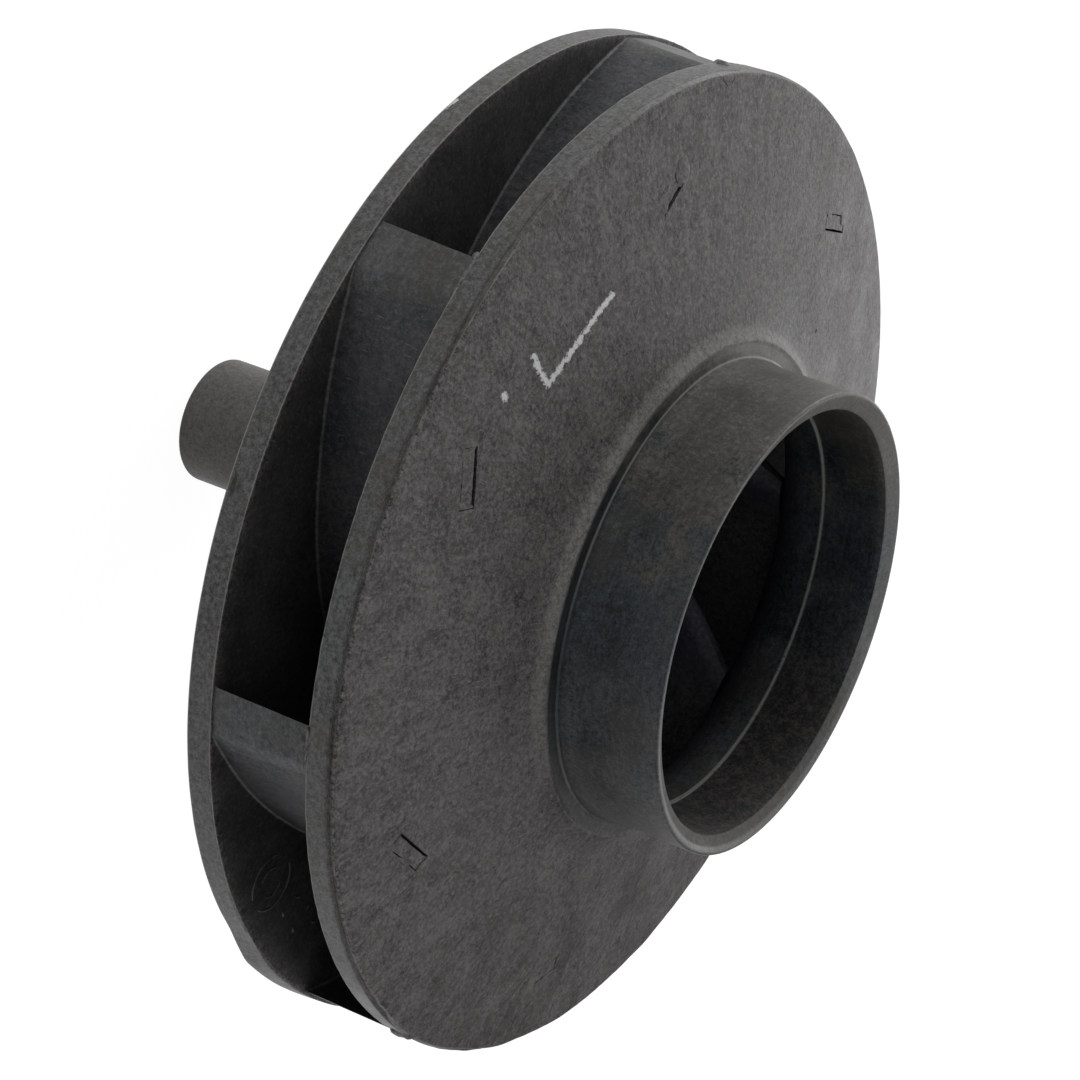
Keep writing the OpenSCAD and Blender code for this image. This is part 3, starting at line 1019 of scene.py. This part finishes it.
def frontWear(far, degrees, z, angle):
    rim, bandTop, wear = impeller["frontRim"], faceHeight - frontShape["bandDrop"], grooveWear
    outward = upward = 0.0
    if far > rim - 1.0 and z > bandTop - 0.3:
        # the groove is ragged, and closed near the top of the picture
        closed = sum(much * bump((degrees - middle + 180) % 360, 180, reach)
                     for middle, reach, much in wear["filled"])
        closed = min(1.0, closed + max(0.0, chance(angle, 0, 0.12, 3) * 1.2))
        ragged = chance(angle, 0, 0.9, 2) + 0.7 * chance(angle, 0, 2.4, 4)
        if z < bandTop + 0.35:
            groove = max(0.0, (rim - 0.2 - far) / 0.25)
            outward = 0.42 * closed * min(1.0, groove) + wear["ragged"] * ragged * (1 - closed)
            upward = wear["ragged"] * ragged
        else:
            outward = wear["ragged"] / 2 * ragged * (1 - closed) + 0.3 * closed
    elif far > rim - 0.3 and z < impeller["roof"] + 0.3:
        outward = wear["edgeRough"] * (chance(angle, 0, 1.1, 7) + chance(angle, 0, 2.6, 8))
        upward = wear["edgeWavy"] * chance(angle, 0, 1.4, 9)
    return min(outward, rim - far + 0.1), upward


# Plastic pressed out by the weld: over the slots, as (vane, across, along, half width, half length, height) in mm
melt = (
    (0, 0.2, -2.8, 1.8, 1.65, 0.12), (0, 1.1, 2.2, 0.5, 2.1, 0.07), (0, -1.5, 3.2, 0.35, 1.1, 0.05),
    (1, 1.15, -3.2, 0.4, 0.9, 0.06), (1, -1.75, -1.0, 0.4, 2.2, 0.05), (2, 1.2, -3.7, 0.7, 0.7, 0.09),
    (2, 1.35, 0.5, 0.35, 1.6, 0.06), (2, 0.4, 4.2, 1.0, 0.6, 0.07), (3, -0.6, 1.7, 1.3, 1.5, 0.1),
    (3, 0.4, -2.2, 1.4, 1.9, 0.05), (6, 1.2, 2.9, 0.5, 1.0, 0.05), (6, 1.0, -3.5, 1.05, 1.1, 0.08),
)
meltPlaces = {
    "turn": [vanePlaces["turn"][m[0]] + vanePlaces["slotStray"][m[0]] for m in melt],
    **{label: [m[i] * mm for m in melt]
       for i, label in enumerate(("across", "along", "halfWidth", "halfLength", "height"), 1)},
}
# and in the joint at each tip: start and end in degrees from the tip's outer corner, and thickness in mm
seamPlaces = {
    "turn": [turn + stray for turn, stray in zip(vanePlaces["turn"], vanePlaces["tipStray"])],
    "from": [radians(a) for a in (-4.4, -4.9, -4.3, -4.0, -4.2, -4.4, -3.8)],
    "to": [radians(a) for a in (-0.2, 0.1, -1.2, -0.6, -0.9, -0.3, -1.4)],
    "thickness": [a * mm for a in (0.14, 0.2, 0.26, 0.14, 0.18, 0.15, 0.2)],
}


def slotCutters(tree, v):
    # blocks a little ragged along their edges
    blocks = copiesAt(tree, meshOf(tree, v["Slot places"]), block(tree, 5, 25, 2))
    across, along, up = position(tree)
    turn = column(tree, "turn") + column(tree, "slotStray")
    rough = wobble(tree, vector(tree, across * 2.0, along * 8.0, turn * 7.0), 1.5) * v["Slot wobble"]
    x, y = slotToPart(tree, v, across * v["Slot width"] + rough, along * v["Slot length"] + rough, turn)
    return movedTo(tree, blocks, x, y, v["Face"] + up * 30 * mm)


def faceBeads(tree, v):
    # flat beads on the face
    ball = made(tree, "GeometryNodeMeshUVSphere", Segments=32, Rings=14, Radius=1.0)
    balls = copiesAt(tree, meshOf(tree, v["Melt places"]), ball)
    across, along, up = position(tree)
    seed = vector(tree, across, along, column(tree, "across") * 3000.0 + column(tree, "turn"))
    swell = wobble(tree, seed, 1.4, 3.0) * 0.3 + 1.0
    x, y = slotToPart(tree, v, column(tree, "across") + across * swell * column(tree, "halfWidth"),
                      column(tree, "along") + along * swell * column(tree, "halfLength"), column(tree, "turn"))
    return movedTo(tree, balls, x, y, onCone(v, x, y) + up * column(tree, "height"))


def seamBeads(tree, v):
    # rough beads in the joint over the tips
    rod = made(tree, "GeometryNodeMeshCylinder", Vertices=10, Side_Segments=36, Radius=1.0, Depth=1.0)
    rods = copiesAt(tree, meshOf(tree, v["Seam places"]), rod)
    out, up, along = position(tree)
    start, end = column(tree, "from"), column(tree, "to")
    angle = column(tree, "turn") + start + (end - start) * (along + 0.5)
    seed = vector(tree, angle * 60.0, out * 0.4, up * 0.4)
    size = column(tree, "thickness") * (wobble(tree, seed, 1.0, 3.0) * 0.8 + 1.0).call("MAXIMUM", 0.3)
    far = v["Front rim"] - 0.12 * mm + out * size
    return movedTo(tree, rods, far * angle.call("COSINE"), far * angle.call("SINE"), v["Roof"] + up * size)


def frontTree(tree, v):
    cut = meshBoolean(tree, "DIFFERENCE", v["Geometry"], slotCutters(tree, v))
    whole = addNode(tree, "GeometryNodeJoinGeometry")
    for part in (seamBeads(tree, v), faceBeads(tree, v), cut):
        tree.links.new(part, whole.inputs[0])
    return whole.outputs[0]


# Moulding nubs on the rim and rough melt in one joint: place and size
frontLumps = (
    ((70.5, 0.8, 71.45), (1.0, 1.3, 1.35)), ((70.55, 148.4, 72.9), (1.0, 1.8, 1.85)),
    ((70.85, 99.5, 70.1), (0.3, 0.75, 0.6)), ((70.95, 100.5, 70.6), (0.28, 0.6, 0.5)),
    ((70.85, 101.3, 70.2), (0.3, 0.7, 0.55)), ((70.9, 102.3, 70.5), (0.22, 0.6, 0.4)),
    ((70.9, 47.9, 70.8), (0.28, 0.6, 0.5)),
)
# A thin raised loop on the face beside the first slot
frontMark = {
    "points": ((70.17, 6.74, 74.81), (69.66, 6.44, 74.92), (69.09, 5.45, 75.05), (69.14, 4.22, 75.06),
               (69.78, 3.48, 74.94), (70.54, 3.76, 74.77)),
    "radius": 0.16,
}


def makeFrontMoulding():
    piece = turnOutline("frontMoulding", frontOutline(frontShape), longest=3.0)
    reshape(piece, frontWear)
    tables = {"Slot places": vanePlaces, "Melt places": meltPlaces, "Seam places": seamPlaces}
    places = {label: placesMesh(label, table) for label, table in tables.items()}
    inputs = {**slotShape, **impellerHeights, **places, "Plastic": plastic}
    growMesh(piece, "slots and weld", inputs, frontTree)
    for place in places.values():
        bpy.data.objects.remove(place)
    lumps = bmesh.new()
    for seed, (place, size) in enumerate(frontLumps, 1):
        addLump(lumps, place, size, seed)
    addStroke(lumps, frontMark["points"], frontMark["radius"])
    joinShells(piece, lumps)
    rim, crest = impeller["frontRim"] - 0.5, mountRadius["collar_seat"] + 2.4
    paint(piece.data, lambda far, z, outward: (far > rim and outward > 0.6) or (far < crest and z > shoulderFoot))
    return piece


# The brass insert in the hub: knurled lands, smooth grooves and a cut thread
insertShape = {
    "land": 7.0,
    "knurls": 24,
    "knurlDepth": 0.35,
    "chamfer": 0.4,
    "grooves": (10.0, 20.0),
    "grooveWidth": 2.5,
    "grooveDepth": 0.8,
    "minorRadius": mountRadius["shaft_thread"],
    "threadDepth": 0.55,
    "threadSlope": 2.3,
    "pitch": 1.27,
    "countersink": 0.8,
    "sink": 0.12,
    "spokes": 96,
}


def insertOutside(shape, z, share, ends):
    # ends are the distances to the insert's two ends
    if any(abs(z - groove) < shape["grooveWidth"] / 2 for groove in shape["grooves"]):
        return shape["land"] - shape["grooveDepth"]
    tooth = abs(share * shape["knurls"] % 1 - 0.5) * 2
    return shape["land"] - shape["knurlDepth"] * tooth - sum(max(0.0, shape["chamfer"] - end) for end in ends)


def insertInside(shape, z, share, ends):
    # a helical V thread between two countersinks
    sunk = max(0.0, shape["countersink"] - ends[0]) + max(0.0, shape["countersink"] * 0.6 - ends[1])
    cut = 1 - abs((z / shape["pitch"] - share) % 1 - 0.5) * shape["threadSlope"]
    return shape["minorRadius"] + max(shape["threadDepth"] * max(0.0, cut), sunk)


def makeInsert(shape):
    # up the outside from the hub's mouth, then back down the inside
    low, high = shape["sink"], insertHigh.z / mm
    shares = [k / shape["spokes"] for k in range(shape["spokes"])]
    rings = []
    for radiusAt, steps, start, end in ((insertOutside, 60, low, high), (insertInside, 150, high, low)):
        for i in range(steps + 1):
            z = start + (end - start) * i / steps
            ring = [(radiusAt(shape, z, share, (z - low, high - z)), 2 * pi * share) for share in shares]
            rings.append([(far * cos(turn), far * sin(turn), z) for far, turn in ring])
    piece = ringSolid("threadedInsert", rings)
    piece.data.materials.append(brass)
    piece.data.shade_smooth()
    piece.data.set_sharp_from_angle(angle=radians(25))
    return piece


rearMoulding = makeRearMoulding()
print("rear moulding:", len(rearMoulding.data.polygons), "faces")
frontMoulding = makeFrontMoulding()
print("front moulding:", len(frontMoulding.data.polygons), "faces")
threadedInsert = makeInsert(insertShape)
print("insert:", len(threadedInsert.data.polygons), "faces")
for piece, node, slot in ((rearMoulding, "rear_shroud", "moulded_plastic"),
                          (frontMoulding, "front_shroud", "moulded_plastic"),
                          (threadedInsert, "threaded_insert", "insert_brass")):
    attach(piece, "root")
    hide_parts(node)


# A white floor: the camera and gloss see it lit evenly but for a soft shadow
floorLook = {
    "half": 3.0,
    "paper": (0.8, 0.8, 0.8, 1),
    "glow": 1.12,
    "glowShare": 0.86,
}


def makeFloor(look):
    half = look["half"]
    mesh = bpy.data.meshes.new("floor")
    mesh.from_pydata([(-half, -half, 0), (half, -half, 0), (half, half, 0), (-half, half, 0)], [], [(0, 1, 2, 3)])
    material, tree, paper = newMaterial("floorPaper", {"Base Color": look["paper"], "Roughness": 1,
                                                       "Specular IOR Level": 0})
    glow = made(tree, "ShaderNodeEmission", Color=(1, 1, 1, 1), Strength=look["glow"])
    rays = tree.nodes.new("ShaderNodeLightPath").outputs
    seen = largest([Measure(tree, rays[f"Is {kind} Ray"]) for kind in ("Camera", "Glossy", "Transmission")])
    mixed = addNode(tree, "ShaderNodeMixShader")
    for source, slot in ((seen * look["glowShare"], 0), (paper.outputs[0], 1), (glow, 2)):
        plug(tree, source, mixed.inputs[slot])
    tree.links.new(mixed.outputs[0], tree.nodes["Material Output"].inputs["Surface"])
    mesh.materials.append(material)
    addObject("floor", mesh)


makeFloor(floorLook)

# The camera stands where the photograph was taken from
cameraView = {
    "target": (1.33, 5.37, 61.28),
    "distance": 409.2,
    "azimuth": 72.0,
    "elevation": 27.51,
    "roll": 110.09,
    "lens": 97.82,
}


def wayTo(azimuth, elevation):
    return Vector((cos(elevation) * cos(azimuth), cos(elevation) * sin(azimuth),
                   sin(elevation)))


def placeCamera(view):
    azimuth, elevation, roll = (radians(view[k]) for k in ("azimuth", "elevation", "roll"))
    back = wayTo(azimuth, elevation)
    levelRight = Vector((0, 0, 1)).cross(back).normalized()
    levelUp = back.cross(levelRight)
    right = levelRight * cos(roll) + levelUp * sin(roll)
    up = back.cross(right)
    camera = bpy.data.objects.new("camera", bpy.data.cameras.new("camera"))
    spot = (Vector(view["target"]) + back * view["distance"]) * mm
    camera.matrix_world = Matrix.Translation(spot) @ Matrix((right, up, back)).transposed().to_4x4()
    camera.data.lens = view["lens"]
    camera.data.clip_start, camera.data.clip_end = 0.02, 10
    bpy.context.scene.collection.objects.link(camera)
    bpy.context.scene.camera = camera


placeCamera(cameraView)

# Soft lamps round the object: azimuth, elevation in degrees and watts
studio = {
    "lamps": ((0, 12, 2.46), (45, 12, 0.47), (135, 12, 0.44), (180, 12, 0.67), (270, 12, 1.7), (315, 12, 3.5),
              (90, 45, 0.62), (180, 45, 0.51), (225, 45, 1.2), (270, 45, 1.0), (315, 45, 0.32), (0, 90, 2.54)),
    "centre": (0, 0, 0.07),
    "distance": 0.9,
    "size": 0.5,
    "world": 0.06,
}


def addLamp(azimuth, elevation, power):
    lamp = bpy.data.lights.new(f"lamp{azimuth}at{elevation}", "AREA")
    lamp.shape, lamp.size, lamp.energy = "SQUARE", studio["size"], power
    direction = wayTo(radians(azimuth), radians(elevation))
    lampObject = addObject(lamp.name, lamp)
    lampObject.location = Vector(studio["centre"]) + direction * studio["distance"]
    lampObject.rotation_mode = "QUATERNION"
    lampObject.rotation_quaternion = direction.to_track_quat("Z", "Y")


for lamp in studio["lamps"]:
    addLamp(*lamp)
world = bpy.data.worlds.new("studio")
world.use_nodes = True
sky = world.node_tree.nodes["Background"].inputs
sky["Color"].default_value = (1, 1, 1, 1)
sky["Strength"].default_value = studio["world"]
bpy.context.scene.world = world
bpy.context.scene.view_settings.view_transform = "Standard"
print("floor, camera and lamps placed")
